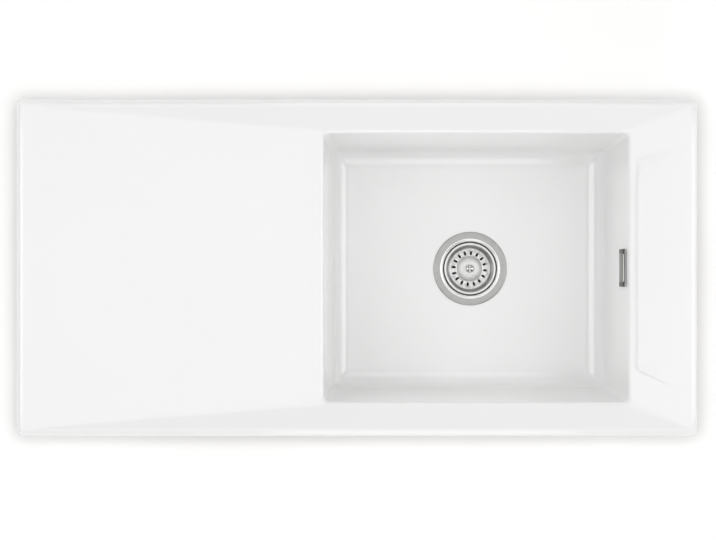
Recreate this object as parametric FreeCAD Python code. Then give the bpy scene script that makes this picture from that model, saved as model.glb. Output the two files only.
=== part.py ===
import FreeCAD, Part
import math
import os

from FreeCAD import Placement, Rotation, Vector

# An inset ceramic kitchen sink: bowl, sloping drainer, tap ledge, basket waste and overflow.
# Millimetres and degrees. X runs to the right, Y to the rear, Z up. The origin is the middle of
# the outline on the worktop's surface.

# Every cut runs past the face that it goes through by this much
overrun = 1.0
# Gap round a piece that turns or slides in another, and round a piece that only passes through
running_gap = 0.05
seat_gap = 0.3

# Rim and deck of the ceramic body
sink_width = 1000.0
sink_depth = 495.0
outline_corner_radius = 8.0
rim_height = 14.0
crest_radius = 6.0
crest_inset = 7.0
deck_fall = 9.0
deck_thickness = 13.0
cutout_margin = 16.0
deck_foot_margin = 17.0

# Foam strips under the rim
strip_thickness = 2.0
strip_width = 8.0
strip_inset = 4.0

# Tap ledge: a level raised place to the right of the bowl, with battered sides, which runs out in
# the deck's slope a little below the crest
ledge_reach = 87.5
ledge_length = 298.0
ledge_flare_angle = 26.0
ledge_drop = 2.6
ledge_batter = 2.5

# Bowl
bowl_width = 450.0
deck_margin = 49.5
bowl_right_margin = 99.0
bowl_height = 178.0
bowl_draft_angle = 5.5
bowl_corner_radius = 9.0
corner_taper_share = 0.1
bowl_edge_radius = 8.0
bowl_edge_angle = 14.0
bowl_foot_radius = 28.0
floor_angle = 1.0
floor_fall = 3.0
wall_thickness = 11.0
floor_thickness = 12.0
outer_foot_radius = 32.0
round_steps = 4
corner_steps = 4

# Waste hole and the recess round it
waste_hole_radius = 45.5
recess_radius = 58.5
recess_depth = 2.5
recess_land = 2.0

# Pressed waste flange and cup
flange_radius = 56.5
flange_sheet = 1.2
throat_radius = 42.6
throat_lip_radius = 4.5
cup_depth = 34.0
cup_foot_radius = 39.0
well_radius = 23.0
well_foot_radius = 22.0
well_depth = 14.0
hub_radius = 9.0
spoke_width = 6.0
spoke_count = 3

# Rubber rings above and below the ceramic floor
flange_seal_thickness = 1.5
flange_seal_inner_radius = 47.5
flange_seal_outer_radius = 55.5
body_seal_thickness = 2.0
body_seal_inner_radius = 47.5
body_seal_outer_radius = 53.0

# Moulded waste body
plastic_wall = 3.0
body_flange_radius = 54.0
body_flange_thickness = 5.0
chamber_radius = 46.0
chamber_depth = 40.0
funnel_height = 18.0
outlet_radius = 23.9
outlet_bore_radius = 20.5
outlet_length = 20.0
weld_lap = 3.0
weld_lip = 2.4
boss_radius = 10.0
boss_height = 17.0
arm_width = 5.0
arm_height = 9.0
inlet_drop = 20.0

# Fixing screw with its tubular head, and the brass insert that it turns in
screw_radius = 4.0
screw_length = 16.0
socket_radius = 7.0
socket_height = 9.0
socket_bore_radius = 4.8
socket_bore_depth = 8.0
socket_slot_width = 2.0
socket_slot_depth = 2.0
fixing_nut_radius = 6.0
fixing_nut_height = 12.0

# Strainer basket
basket_sheet = 0.9
basket_lip_drop = 0.2
basket_lip_radius = 41.6
basket_lip_height = 1.2
basket_lip_shares = ((1.0, 1.0), (0.86, 0.25), (0.57, 0.0), (0.21, 0.33), (0.0, 1.25))
basket_mouth_radius = 38.8
basket_depth = 20.0
basket_floor_radius = 33.0
basket_bend = 2.5
slot_ring_rise = 0.8
dome_radius = 20.5
dome_height = 10.0
dome_flat_radius = 7.0
dome_shares = (1.0, 0.8, 0.6, 0.4, 0.2, 0.0)
slot_count = 16
slot_width = 3.4
slot_inner_radius = 21.6
slot_outer_radius = 28.6
slot_turn_angle = 6.0

# Knob on the basket
knob_height = 11.0
knob_radius = 6.2
knob_outline_shares = (
    (0.8, 0.0), (0.66, 0.22), (0.7, 0.45), (0.96, 0.62), (1.0, 0.8), (0.82, 0.96), (0.5, 1.0),
)
knob_hole_depth = 7.0

# Stem, stopper disc and spring ring under the basket
stem_radius = 4.0
stem_shoulder_radius = 6.0
stem_shoulder_height = 4.0
stem_thread_radius = 2.5
stem_hole_radius = 3.1
stem_thread_length = 6.5
stem_tip_chamfer = 1.0
stem_tip_gap = 0.5
collar_radius = 8.0
collar_thickness = 1.5
stopper_radius = 27.0
stopper_thickness = 2.4
stopper_neck_radius = 5.0
stopper_chamfer = 0.8
clip_height = 1.2
clip_seat_radius = 3.2
clip_radius = 4.5
clip_lift = 3.0
clip_split_width = 1.2

# Overflow: opening through the right wall, gaskets, carrier, plate and housing
overflow_drop = 31.0
overflow_opening_length = 46.5
overflow_opening_height = 16.5
overflow_opening_radius = 4.0
gasket_thickness = 1.0
gasket_margin = 1.0
carrier_length = 56.0
carrier_height = 26.0
carrier_radius = 3.0
carrier_flange = 1.2
carrier_end_length = 7.0
carrier_end_height = 3.4
sleeve_gap = 0.75
sleeve_wall = 1.5
sleeve_reach = 8.0
web_width = 9.0
web_thickness = 3.0
plate_thickness = 1.0
plate_stand = 2.0
plate_side_gap = 0.2
tongue_length = 1.4
tongue_height = 16.0
overflow_screw_radius = 2.0
overflow_screw_length = 19.0
overflow_head_radius = 4.2
overflow_head_height = 2.5
outer_gasket_thickness = 2.0
housing_length = 62.0
housing_height = 32.0
housing_radius = 5.0
housing_flange = 3.0
housing_chamber_depth = 29.0
housing_boss_radius = 5.0
overflow_nut_radius = 3.2
overflow_nut_length = 10.0

# Overflow pipe and its compression joints
pipe_radius = 10.0
pipe_wall = 1.6
pipe_bend_radius = 40.0
pipe_entry = 18.0
pipe_stand = 31.0
spigot_radius = 14.0
spigot_length = 24.0
spigot_gap = 0.5
mouth_chamfer_depth = 3.5
mouth_radius = 13.0
cone_head = 2.5
cone_depth = 3.0
pipe_nut_radius = 18.0
pipe_nut_reach = 13.0
pipe_nut_end = 3.3
pipe_nut_sides = 8

# Levels worked out from the sizes above
seat_level = strip_thickness
rim_top = seat_level + rim_height
bowl_edge = rim_top - deck_fall
ledge_level = rim_top - ledge_drop
floor_foot = bowl_edge - bowl_height
floor_low = floor_foot - floor_fall
floor_underside = floor_low - floor_thickness
recess_level = floor_low - recess_depth
flange_top = recess_level + flange_seal_thickness + flange_sheet
cup_seat = flange_top - cup_depth
well_level = cup_seat - well_depth
hub_underside = well_level - flange_sheet
body_top = floor_underside - body_seal_thickness
chamber_floor = body_top - chamber_depth
weld_level = hub_underside - boss_height
outlet_top = chamber_floor - funnel_height
outlet_end = outlet_top - outlet_length
inlet_level = body_top - inlet_drop
socket_top = well_level + socket_height
basket_top = flange_top - basket_lip_drop
basket_floor = basket_top - basket_depth
dome_foot = basket_floor + slot_ring_rise
dome_top = dome_foot + dome_height
stopper_level = cup_seat + seat_gap
stem_tip = socket_top - socket_bore_depth + stem_tip_gap

# Places in the plan
bowl_right = sink_width / 2 - bowl_right_margin
bowl_left = bowl_right - bowl_width
bowl_rear = sink_depth / 2 - deck_margin
bowl_front = -bowl_rear
waste_x = (bowl_left + bowl_right) / 2
draft = math.radians(bowl_draft_angle)
wall_square = wall_thickness * math.cos(draft)


# Shared ways of making solids


def arc(first, middle, last):
    return Part.Arc(first, middle, last).toShape()


def line(first, last):
    return Part.LineSegment(first, last).toShape()


def ring(left, right, front, rear, radius, level, steps):
    """The points of a rounded rectangle, anticlockwise, with each corner's arc in a number of steps."""
    corners = [
        (right - radius, rear - radius, 0),
        (left + radius, rear - radius, 90),
        (left + radius, front + radius, 180),
        (right - radius, front + radius, 270),
    ]
    points = []
    for x, y, start in corners:
        for i in range(steps + 1):
            angle = math.radians(start + 90 * i / steps)
            points.append(Vector(x + radius * math.cos(angle), y + radius * math.sin(angle), level))
    return points


def stack(rings):
    """A solid with flat faces through rings of points whose matching sides are parallel."""
    count = len(rings[0])
    faces = []
    for low, high in zip(rings, rings[1:]):
        for i in range(count):
            j = (i + 1) % count
            faces.append(Part.Face(Part.makePolygon([low[i], low[j], high[j], high[i], low[i]])))
    for cap in (rings[0], rings[-1]):
        faces.append(Part.Face(Part.makePolygon(cap + cap[:1])))
    solid = Part.Solid(Part.Shell(faces))
    if solid.Volume < 0:
        solid.reverse()
    return solid


def rounded_outline(half_length, half_height, radius, level):
    """A rounded rectangle about the local Z axis, with true arcs at its corners."""
    points = ring(-half_length, half_length, -half_height, half_height, radius, level, 2)
    edges = []
    for i in range(0, len(points), 3):
        edges.append(arc(points[i], points[i + 1], points[i + 2]))
        edges.append(line(points[i + 2], points[(i + 3) % len(points)]))
    return Part.Face(Part.Wire(edges))


def block(length, height, radius, low, high):
    """A flat block with rounded corners, centred on the local Z axis."""
    return rounded_outline(length / 2, height / 2, radius, low).extrude(Vector(0, 0, high - low))


def rod(radius, low, high, x=0, y=0):
    return Part.makeCylinder(radius, high - low, Vector(x, y, low), Vector(0, 0, 1))


def tube(outer, inner, low, high):
    return rod(outer, low, high).cut(rod(inner, low - overrun, high + overrun))


def turned(outline):
    """A solid of revolution about the local Z axis, from (radius, height) points."""
    points = [Vector(r, 0, z) for r, z in outline]
    face = Part.Face(Part.makePolygon(points + points[:1]))
    return face.revolve(Vector(0, 0, 0), Vector(0, 0, 1), 360)


def sheet(line_points, thickness):
    """The closed outline of a pressed sheet whose upper face follows the points, outer edge first."""
    moved = []
    last = len(line_points) - 1
    for i, (r, z) in enumerate(line_points):
        normals = []
        for a, b in ((max(i - 1, 0), max(i, 1)), (min(i, last - 1), min(i + 1, last))):
            dr = line_points[b][0] - line_points[a][0]
            dz = line_points[b][1] - line_points[a][1]
            size = math.hypot(dr, dz)
            normals.append((-dz / size, dr / size))
        (ar, az), (br, bz) = normals
        mitre = thickness / (1 + ar * br + az * bz)
        moved.append((r + mitre * (ar + br), z + mitre * (az + bz)))
    return list(line_points) + moved[::-1]


def at_waste(shape):
    shape.translate(Vector(waste_x, 0, 0))
    return shape


def sided_bar(radius, low, high, sides=6):
    """A bar with flat sides about the local Z axis, measured across its corners."""
    points = []
    for i in range(sides):
        angle = 2 * math.pi * i / sides
        points.append(Vector(radius * math.cos(angle), radius * math.sin(angle), low))
    return Part.Face(Part.makePolygon(points + points[:1])).extrude(Vector(0, 0, high - low))


# The overflow's own frame lies on the wall's inner face: local Z into the bowl, local Y up the wall
wall_up = Vector(math.sin(draft), 0, math.cos(draft))
wall_in = Vector(-math.cos(draft), 0, math.sin(draft))
overflow_centre = Vector(bowl_right - overflow_drop * math.tan(draft), 0, bowl_edge - overflow_drop)
overflow_place = Placement(overflow_centre, Rotation(Vector(0, -1, 0), wall_up, wall_in, "ZXY"))


def on_wall(shape):
    shape.Placement = overflow_place.multiply(shape.Placement)
    return shape


def wall_point(up, out):
    """The point this far up the wall from the overflow's centre, and this far into the bowl."""
    return overflow_centre + wall_up * up + wall_in * out


# The ceramic body


def bowl_ring(inset, level):
    """The bowl's plan at a level, drawn in from its sharp edge by an inset; outwards it is an offset."""
    share = 1 if inset < 0 else corner_taper_share
    radius = bowl_corner_radius - share * inset
    sides = (bowl_left + inset, bowl_right - inset, bowl_front + inset, bowl_rear - inset)
    return ring(*sides, radius, level, corner_steps)


def wall_inset(level):
    return (bowl_edge - level) * math.tan(draft)


def bowl_cavity():
    """The hollow of the bowl: rounded edge, drafted wall, rounded foot, and a floor falling to the waste."""
    edge_end = math.radians(90 - bowl_edge_angle)
    tangent = bowl_edge_radius * math.tan((edge_end - draft) / 2)
    flare = math.radians(bowl_edge_angle)
    sections = [(-(tangent + bowl_edge_radius / 4) * math.cos(flare),
                 bowl_edge + (tangent + bowl_edge_radius / 4) * math.sin(flare))]
    for i in range(round_steps + 1):
        lean = edge_end + (draft - edge_end) * i / round_steps
        inset = tangent * math.sin(draft) + bowl_edge_radius * (math.cos(lean) - math.cos(draft))
        level = bowl_edge - tangent * math.cos(draft) + bowl_edge_radius * (math.sin(lean) - math.sin(draft))
        sections.append((inset, level))
    foot_end = math.radians(90 - floor_angle)
    tangent = bowl_foot_radius * math.tan((foot_end - draft) / 2)
    start_inset = wall_inset(floor_foot) - tangent * math.sin(draft)
    start_level = floor_foot + tangent * math.cos(draft)
    for i in range(round_steps + 1):
        lean = draft + (foot_end - draft) * i / round_steps
        inset = start_inset + bowl_foot_radius * (math.cos(draft) - math.cos(lean))
        level = start_level - bowl_foot_radius * (math.sin(lean) - math.sin(draft))
        sections.append((inset, level))
    rings = [bowl_ring(inset, level) for inset, level in sections]
    land = recess_radius + recess_land
    rings.append(ring(waste_x - land, waste_x + land, -land, land, recess_radius, floor_low, corner_steps))
    return stack(rings)


def bowl_outside():
    """The outer form of the bowl: the wall's thickness outside the hollow, with its own rounded foot."""
    top = seat_level
    tangent = outer_foot_radius * math.tan((math.pi / 2 - draft) / 2)
    start = wall_inset(floor_underside) - tangent * math.sin(draft)
    start_level = floor_underside + tangent * math.cos(draft)
    sections = [(wall_inset(top), top)]
    for i in range(round_steps + 1):
        lean = draft + (math.pi / 2 - draft) * i / round_steps
        inset = start + outer_foot_radius * (math.cos(draft) - math.cos(lean))
        level = start_level - outer_foot_radius * (math.sin(lean) - math.sin(draft))
        sections.append((inset, level))
    return stack([bowl_ring(inset - wall_thickness, level) for inset, level in sections])


def tap_ledge():
    """The raised ledge, wider at its foot, flaring to the right like the corner lines of the deck."""
    inner = sink_width / 2 - ledge_reach
    outer = sink_width / 2 + overrun
    flare = math.tan(math.radians(ledge_flare_angle))
    slope = ledge_batter / (ledge_level - bowl_edge)
    rings = []
    for level in (bowl_edge - overrun, ledge_level):
        spread = (ledge_level - level) * slope
        near = ledge_length / 2 + spread
        far = near + (outer - inner + spread) * flare
        corners = [(inner - spread, -near), (outer, -far), (outer, far), (inner - spread, near)]
        rings.append([Vector(x, y, level) for x, y in corners])
    return stack(rings)


def rectangle(left, right, front, rear, level):
    return [Vector(x, y, level) for x, y in ((right, rear), (left, rear), (left, front), (right, front))]


def deck_slopes():
    """What is taken off the top: four slopes from the rim's crest down to the bowl's edge."""
    half_width = sink_width / 2 - crest_inset
    half_depth = sink_depth / 2 - crest_inset
    return stack([
        rectangle(bowl_left, bowl_right, bowl_front, bowl_rear, bowl_edge),
        rectangle(-half_width, half_width, -half_depth, half_depth, rim_top),
    ])


def sink_body():
    half_width = sink_width / 2
    half_depth = sink_depth / 2
    plate = block(sink_width, sink_depth, outline_corner_radius, seat_level, rim_top)
    top_edges = [e for e in plate.Edges if min(v.Z for v in e.Vertexes) > rim_top - overrun]
    plate = plate.makeFillet(crest_radius, top_edges)
    lower_deck = stack([
        ring(cutout_margin - half_width, half_width - cutout_margin, cutout_margin - half_depth,
             half_depth - cutout_margin, outline_corner_radius, seat_level + overrun, corner_steps),
        bowl_ring(-deck_foot_margin, bowl_edge - deck_thickness),
    ])
    body = plate.fuse(lower_deck).fuse(bowl_outside())
    body = body.cut(deck_slopes().cut(tap_ledge()))
    body = body.cut(bowl_cavity())
    body = body.cut(rod(recess_radius, recess_level, floor_low + overrun, waste_x))
    body = body.cut(rod(waste_hole_radius, floor_underside - overrun, floor_low, waste_x))
    opening = block(overflow_opening_length, overflow_opening_height, overflow_opening_radius,
                    -wall_square - overrun, overrun)
    return body.cut(on_wall(opening)).removeSplitter()


def rim_seal():
    """Four straight foam strips, butted at the corners."""
    half_width = sink_width / 2 - strip_inset
    half_depth = sink_depth / 2 - strip_inset
    side_length = 2 * (half_depth - strip_width)
    strips = []
    for y in (-half_depth, half_depth - strip_width):
        strips.append(Part.makeBox(2 * half_width, strip_width, strip_thickness, Vector(-half_width, y, 0)))
    for x in (-half_width, half_width - strip_width):
        corner = Vector(x, -side_length / 2, 0)
        strips.append(Part.makeBox(strip_width, side_length, strip_thickness, corner))
    return Part.makeCompound(strips)


# The basket waste


def spokes(width, low, high, reach, count):
    """Straight spokes from the local Z axis outwards, evenly spaced."""
    arms = []
    for i in range(count):
        arm = Part.makeBox(reach, width, high - low, Vector(0, -width / 2, low))
        arm.rotate(Vector(0, 0, 0), Vector(0, 0, 1), 360 * i / count)
        arms.append(arm)
    return arms[0].fuse(arms[1:])


def waste_flange():
    line_points = [(flange_radius, flange_top)]
    for i in range(round_steps + 1):
        turn = math.pi / 2 * i / round_steps
        line_points.append((throat_radius + throat_lip_radius * (1 - math.sin(turn)),
                            flange_top - throat_lip_radius * (1 - math.cos(turn))))
    line_points += [
        (cup_foot_radius, cup_seat),
        (well_radius, cup_seat),
        (well_foot_radius, well_level),
        (screw_radius + seat_gap, well_level),
    ]
    cup = turned(sheet(line_points, flange_sheet))
    low = hub_underside - overrun
    high = well_level + overrun
    gap_radius = well_foot_radius - flange_sheet
    drain = tube(gap_radius, hub_radius, low, high)
    return at_waste(cup.cut(drain.cut(spokes(spoke_width, low, high, gap_radius, spoke_count))))


def flange_seal():
    top = recess_level + flange_seal_thickness
    return at_waste(tube(flange_seal_outer_radius, flange_seal_inner_radius, recess_level, top))


def body_seal():
    return at_waste(tube(body_seal_outer_radius, body_seal_inner_radius, body_top, floor_underside))


def spigot_bore(radius):
    """The bore of a pipe spigot with its mouth at 0: the pipe's room and the cone seal's seat."""
    return turned([
        (0, -spigot_length - radius),
        (pipe_radius + spigot_gap, -spigot_length - radius),
        (pipe_radius + spigot_gap, -mouth_chamfer_depth),
        (mouth_radius, 0),
        (mouth_radius, overrun),
        (0, overrun),
    ])


inlet_mouth = Vector(waste_x + chamber_radius + plastic_wall + spigot_length, 0, inlet_level)
inlet_place = Placement(inlet_mouth, Rotation(Vector(0, 0, 1), Vector(1, 0, 0)))


def funnel_inside(level):
    fallen = (chamber_floor - level) / funnel_height
    return chamber_radius + (outlet_bore_radius - chamber_radius) * fallen


def funnel_outside(level):
    fallen = (chamber_floor - level) / funnel_height
    wall_radius = chamber_radius + plastic_wall
    return wall_radius + (outlet_radius - wall_radius) * fallen


def waste_body():
    outside = [
        (0, body_top),
        (body_flange_radius, body_top),
        (body_flange_radius, body_top - body_flange_thickness),
        (chamber_radius + plastic_wall, body_top - body_flange_thickness),
        (chamber_radius + plastic_wall, chamber_floor),
        (funnel_outside(weld_level), weld_level),
        (0, weld_level),
    ]
    inside = [
        (0, body_top + overrun),
        (chamber_radius, body_top + overrun),
        (chamber_radius, chamber_floor),
        (funnel_inside(weld_level - overrun), weld_level - overrun),
        (0, weld_level - overrun),
    ]
    solid = at_waste(turned(outside))
    spigot = rod(spigot_radius, -spigot_length - chamber_radius / 2, 0)
    spigot.Placement = inlet_place
    bore = spigot_bore(chamber_radius / 2)
    bore.Placement = inlet_place
    arm_top = weld_level + arm_height
    arms = spokes(arm_width, arm_top - arm_height, arm_top, chamber_radius + plastic_wall, spoke_count)
    arms = at_waste(arms).common(solid)
    boss = at_waste(rod(boss_radius, weld_level, hub_underside))
    nut_low = hub_underside - fixing_nut_height
    nut_pocket = rod(fixing_nut_radius + running_gap, nut_low, hub_underside + overrun)
    screw_way = rod(screw_radius + seat_gap, weld_level - overrun, hub_underside)
    body = solid.fuse(spigot).cut(at_waste(turned(inside))).cut(bore)
    body = body.fuse(arms).fuse(boss)
    return body.cut(at_waste(screw_way)).cut(at_waste(nut_pocket)).removeSplitter()


def outlet_tail():
    socket_foot = funnel_outside(weld_level) + running_gap
    socket_mouth = funnel_outside(weld_level + weld_lap) + running_gap
    return at_waste(turned([
        (funnel_inside(weld_level), weld_level),
        (socket_foot, weld_level),
        (socket_mouth, weld_level + weld_lap),
        (socket_mouth + weld_lip, weld_level + weld_lap),
        (outlet_radius + weld_lip, outlet_top),
        (outlet_radius, outlet_top),
        (outlet_radius, outlet_end),
        (outlet_bore_radius, outlet_end),
        (outlet_bore_radius, outlet_top),
    ]))


def fixing_screw():
    screw = turned([
        (0, well_level - screw_length),
        (screw_radius, well_level - screw_length),
        (screw_radius, well_level),
        (socket_radius, well_level),
        (socket_radius, socket_top),
        (socket_bore_radius, socket_top),
        (socket_bore_radius, socket_top - socket_bore_depth),
        (0, socket_top - socket_bore_depth),
    ])
    slot_corner = Vector(-socket_radius - overrun, -socket_slot_width / 2, socket_top - socket_slot_depth)
    slot_length = 2 * (socket_radius + overrun)
    slot = Part.makeBox(slot_length, socket_slot_width, socket_slot_depth + overrun, slot_corner)
    return at_waste(screw.cut(slot))


def fixing_nut():
    low = hub_underside - fixing_nut_height
    nut = sided_bar(fixing_nut_radius, low, hub_underside)
    return at_waste(nut.cut(rod(screw_radius + running_gap, low - overrun, hub_underside + overrun)))


# The lift-out basket


def basket_cup():
    lip = basket_lip_radius - basket_mouth_radius
    line_points = []
    for out_share, drop_share in basket_lip_shares:
        radius = basket_mouth_radius + lip * out_share
        line_points.append((radius, basket_top - basket_lip_height * drop_share))
    line_points += [
        (basket_floor_radius + basket_bend / 2, basket_floor + basket_bend),
        (basket_floor_radius, basket_floor + basket_bend / 4),
        (basket_floor_radius - basket_bend, basket_floor),
    ]
    for share in dome_shares:
        radius = dome_flat_radius + (dome_radius - dome_flat_radius) * share
        line_points.append((radius, dome_foot + dome_height * (1 - share * share)))
    line_points.append((stem_hole_radius, dome_top))
    cup = turned(sheet(line_points, basket_sheet))
    slots = []
    for i in range(slot_count):
        low = basket_floor - basket_sheet - overrun
        high = dome_foot + dome_height / 2
        middle = rod(slot_width / 2, low, high, slot_inner_radius + slot_width / 2)
        outer = rod(slot_width / 2, low, high, slot_outer_radius - slot_width / 2)
        straight = Part.makeBox(slot_outer_radius - slot_inner_radius - slot_width, slot_width, high - low,
                                Vector(slot_inner_radius + slot_width / 2, -slot_width / 2, low))
        slot = straight.fuse([middle, outer]).removeSplitter()
        slot.rotate(Vector(0, 0, 0), Vector(0, 0, 1), 90 - slot_turn_angle - 360 * i / slot_count)
        slots.append(slot)
    return at_waste(cup.cut(slots))


def basket_knob():
    outline = [(stem_thread_radius + running_gap, dome_top)]
    for radius_share, height_share in knob_outline_shares:
        outline.append((knob_radius * radius_share, dome_top + knob_height * height_share))
    outline += [
        (0, dome_top + knob_height),
        (0, dome_top + knob_hole_depth),
        (stem_thread_radius + running_gap, dome_top + knob_hole_depth),
    ]
    return at_waste(turned(outline))


def basket_stem():
    shoulder = dome_top - basket_sheet
    collar_low = stopper_level - running_gap
    collar_high = stopper_level + stopper_thickness + running_gap
    clip_low = stem_tip + clip_lift - running_gap
    clip_high = clip_low + clip_height + 2 * running_gap
    return at_waste(turned([
        (0, stem_tip),
        (stem_radius - stem_tip_chamfer, stem_tip),
        (stem_radius, stem_tip + stem_tip_chamfer),
        (stem_radius, clip_low),
        (clip_seat_radius, clip_low),
        (clip_seat_radius, clip_high),
        (stem_radius, clip_high),
        (stem_radius, collar_low - collar_thickness),
        (collar_radius, collar_low - collar_thickness),
        (collar_radius, collar_low),
        (stopper_neck_radius, collar_low),
        (stopper_neck_radius, collar_high),
        (collar_radius, collar_high),
        (collar_radius, collar_high + collar_thickness),
        (stem_radius, collar_high + collar_thickness),
        (stem_radius, shoulder - stem_shoulder_height),
        (stem_shoulder_radius, shoulder - stem_shoulder_height),
        (stem_shoulder_radius, shoulder),
        (stem_thread_radius, shoulder),
        (stem_thread_radius, dome_top + stem_thread_length),
        (0, dome_top + stem_thread_length),
    ]))


def basket_seal():
    high = stopper_level + stopper_thickness
    return at_waste(turned([
        (stopper_neck_radius + running_gap, stopper_level),
        (stopper_radius - stopper_chamfer, stopper_level),
        (stopper_radius, stopper_level + stopper_chamfer),
        (stopper_radius, high - stopper_chamfer),
        (stopper_radius - stopper_chamfer, high),
        (stopper_neck_radius + running_gap, high),
    ]))


def stem_clip():
    low = stem_tip + clip_lift
    spring = tube(clip_radius, clip_seat_radius + running_gap, low, low + clip_height)
    split = Part.makeBox(clip_radius + overrun, clip_split_width, clip_height + 2 * overrun,
                         Vector(0, -clip_split_width / 2, low - overrun))
    return at_waste(spring.cut(split))


# The overflow, in the frame of the bowl's right wall

flange_low = gasket_thickness
flange_high = flange_low + carrier_flange
plate_low = flange_high + plate_stand
sleeve_length = overflow_opening_length - 2 * sleeve_gap
sleeve_height = overflow_opening_height - 2 * sleeve_gap
sleeve_radius = overflow_opening_radius - sleeve_gap
plate_half = carrier_length / 2 - carrier_end_length
housing_face = -wall_square - outer_gasket_thickness
housing_back = housing_face - housing_chamber_depth


def insert_seal():
    gasket = block(carrier_length - 2 * gasket_margin, carrier_height - 2 * gasket_margin, carrier_radius,
                   0, gasket_thickness)
    hole = block(overflow_opening_length, overflow_opening_height, overflow_opening_radius,
                 -overrun, gasket_thickness + overrun)
    return on_wall(gasket.cut(hole))


def overflow_insert():
    """The carrier: a flange with two raised ends for the plate, and a sleeve with a screw web inside."""
    end_top = flange_high + carrier_end_height
    flange = block(carrier_length, carrier_height, carrier_radius, flange_low, end_top)
    middle = Part.makeBox(2 * plate_half, carrier_height + 2 * overrun, carrier_end_height + overrun,
                          Vector(-plate_half, -carrier_height / 2 - overrun, flange_high))
    groove_half = plate_half + tongue_length + plate_side_gap
    groove_height = tongue_height + 2 * plate_side_gap
    groove = Part.makeBox(2 * groove_half, groove_height, plate_thickness + 2 * plate_side_gap,
                          Vector(-groove_half, -groove_height / 2, plate_low - plate_side_gap))
    sleeve = block(sleeve_length, sleeve_height, sleeve_radius, -sleeve_reach, flange_high)
    bore = block(sleeve_length - 2 * sleeve_wall, sleeve_height - 2 * sleeve_wall,
                 sleeve_radius - sleeve_wall, -sleeve_reach - overrun, flange_high + overrun)
    web = Part.makeBox(web_width, sleeve_height - sleeve_wall, web_thickness,
                       Vector(-web_width / 2, -(sleeve_height - sleeve_wall) / 2, -sleeve_reach))
    web_top = -sleeve_reach + web_thickness
    hole = rod(overflow_screw_radius + seat_gap, -sleeve_reach - overrun, web_top + overrun)
    carrier = flange.cut([middle, groove]).fuse(sleeve).cut(bore).fuse(web).cut(hole)
    return on_wall(carrier.removeSplitter())


def overflow_cover():
    """The stainless plate, with a tongue at each end that clicks into the carrier."""
    length = 2 * (plate_half - plate_side_gap)
    plate = Part.makeBox(length, carrier_height, plate_thickness,
                         Vector(-length / 2, -carrier_height / 2, plate_low))
    tongues = Part.makeBox(length + 2 * tongue_length, tongue_height, plate_thickness,
                           Vector(-length / 2 - tongue_length, -tongue_height / 2, plate_low))
    return on_wall(plate.fuse(tongues).removeSplitter())


def overflow_screw():
    seat = -sleeve_reach + web_thickness
    return on_wall(turned([
        (0, seat - overflow_screw_length),
        (overflow_screw_radius, seat - overflow_screw_length),
        (overflow_screw_radius, seat),
        (overflow_head_radius, seat),
        (overflow_head_radius, seat + overflow_head_height / 2),
        (overflow_head_radius / 2, seat + overflow_head_height),
        (0, seat + overflow_head_height),
    ]))


def overflow_nut():
    nut = sided_bar(overflow_nut_radius, -sleeve_reach - overflow_nut_length, -sleeve_reach)
    hole = rod(overflow_screw_radius + running_gap, -sleeve_reach - overflow_nut_length - overrun,
               -sleeve_reach + overrun)
    return on_wall(nut.cut(hole))


def overflow_seal():
    gasket = block(housing_length - 2 * gasket_margin, housing_height - 2 * gasket_margin, housing_radius,
                   housing_face, -wall_square)
    hole = block(overflow_opening_length, overflow_opening_height, overflow_opening_radius,
                 housing_face - overrun, -wall_square + overrun)
    return on_wall(gasket.cut(hole))


spigot_mouth_drop = overflow_opening_height / 2 + plastic_wall + spigot_length
upper_mouth = wall_point(-spigot_mouth_drop, -pipe_stand)
upper_place = Placement(upper_mouth, Rotation(Vector(0, 0, 1), wall_up * -1))


def overflow_housing():
    """A flanged box behind the wall, with a boss for the screw's insert and a spigot under it."""
    flange_back = housing_face - housing_flange
    flange = block(housing_length, housing_height, housing_radius, flange_back, housing_face)
    shell = block(overflow_opening_length + 2 * plastic_wall, overflow_opening_height + 2 * plastic_wall,
                  overflow_opening_radius + plastic_wall, housing_back - plastic_wall, housing_face)
    room = block(overflow_opening_length, overflow_opening_height, overflow_opening_radius,
                 housing_back, housing_face + overrun)
    boss = rod(housing_boss_radius, housing_back - plastic_wall, -sleeve_reach)
    nut_low = -sleeve_reach - overflow_nut_length
    pocket = rod(overflow_nut_radius + running_gap, nut_low, -sleeve_reach + overrun)
    screw_way = rod(overflow_screw_radius + seat_gap, housing_back, -sleeve_reach)
    spigot = rod(spigot_radius, -spigot_length - plastic_wall, 0)
    spigot.Placement = upper_place
    bore = spigot_bore(plastic_wall + overrun)
    bore.Placement = upper_place
    housing = on_wall(flange.fuse(shell))
    housing = housing.fuse(spigot).cut(on_wall(room)).cut(bore).fuse(on_wall(boss))
    return housing.cut([on_wall(pocket), on_wall(screw_way)]).removeSplitter()


def pipe_sweep(radius, start, bend_start, bend_middle, bend_end, finish):
    bend = arc(bend_start, bend_middle, bend_end)
    path = Part.Wire([line(start, bend_start), bend, line(bend_end, finish)])
    section = Part.Wire(Part.makeCircle(radius, start, bend_start - start))
    return path.makePipeShell([section], True, False)


def overflow_pipe():
    """Down beside the bowl's wall, round one bend and level under the floor to the waste body."""
    down = wall_up * -1
    start = upper_mouth - down * pipe_entry
    finish = inlet_mouth - Vector(pipe_entry, 0, 0)
    corner = upper_mouth + down * ((upper_mouth.z - inlet_level) / -down.z)
    turn = math.pi / 2 - draft
    tangent = pipe_bend_radius * math.tan(turn / 2)
    level = Vector(-1, 0, 0)
    bend_start = corner - down * tangent
    bend_end = corner + level * tangent
    to_centre = (level - down).normalize()
    centre = corner + to_centre * (pipe_bend_radius / math.cos(turn / 2))
    bend_middle = centre - to_centre * pipe_bend_radius
    route = (start, bend_start, bend_middle, bend_end, finish)
    return pipe_sweep(pipe_radius, *route).cut(pipe_sweep(pipe_radius - pipe_wall, *route))


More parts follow.
